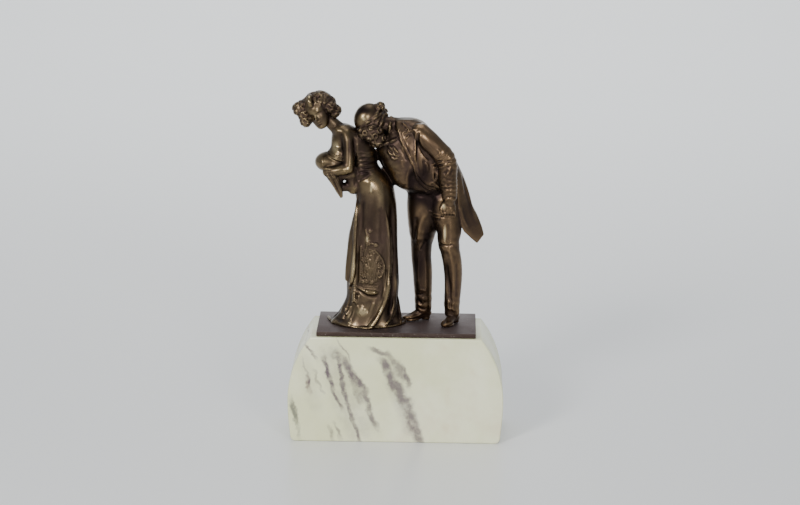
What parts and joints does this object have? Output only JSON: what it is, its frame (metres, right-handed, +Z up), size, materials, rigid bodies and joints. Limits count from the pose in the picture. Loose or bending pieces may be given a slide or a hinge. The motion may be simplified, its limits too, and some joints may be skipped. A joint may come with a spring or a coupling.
{
  "type": "courting couple figurine",
  "caption": "Small cast bronze group of a lady in a trained gown and a stout gentleman bowing to her shoulder, on a bronze plate and a block of veined marble.",
  "frame": {"origin": "middle of the marble block's underside", "axes": "+Z up, -Y out of the front, +X to the gentleman's side"},
  "size_m": [0.0978, 0.04, 0.1587],
  "materials": {
    "patinated_bronze": "brown patina rubbed through to olive gold on the raised parts",
    "plate_bronze": "matt chocolate brown patina",
    "veined_marble": "polished white marble with purple-grey veins"
  },
  "bodies": {
    "root": {"courting_couple": "patinated_bronze", "bronze_plate": "plate_bronze", "marble_plinth": "veined_marble"}
  },
  "joints": []
}
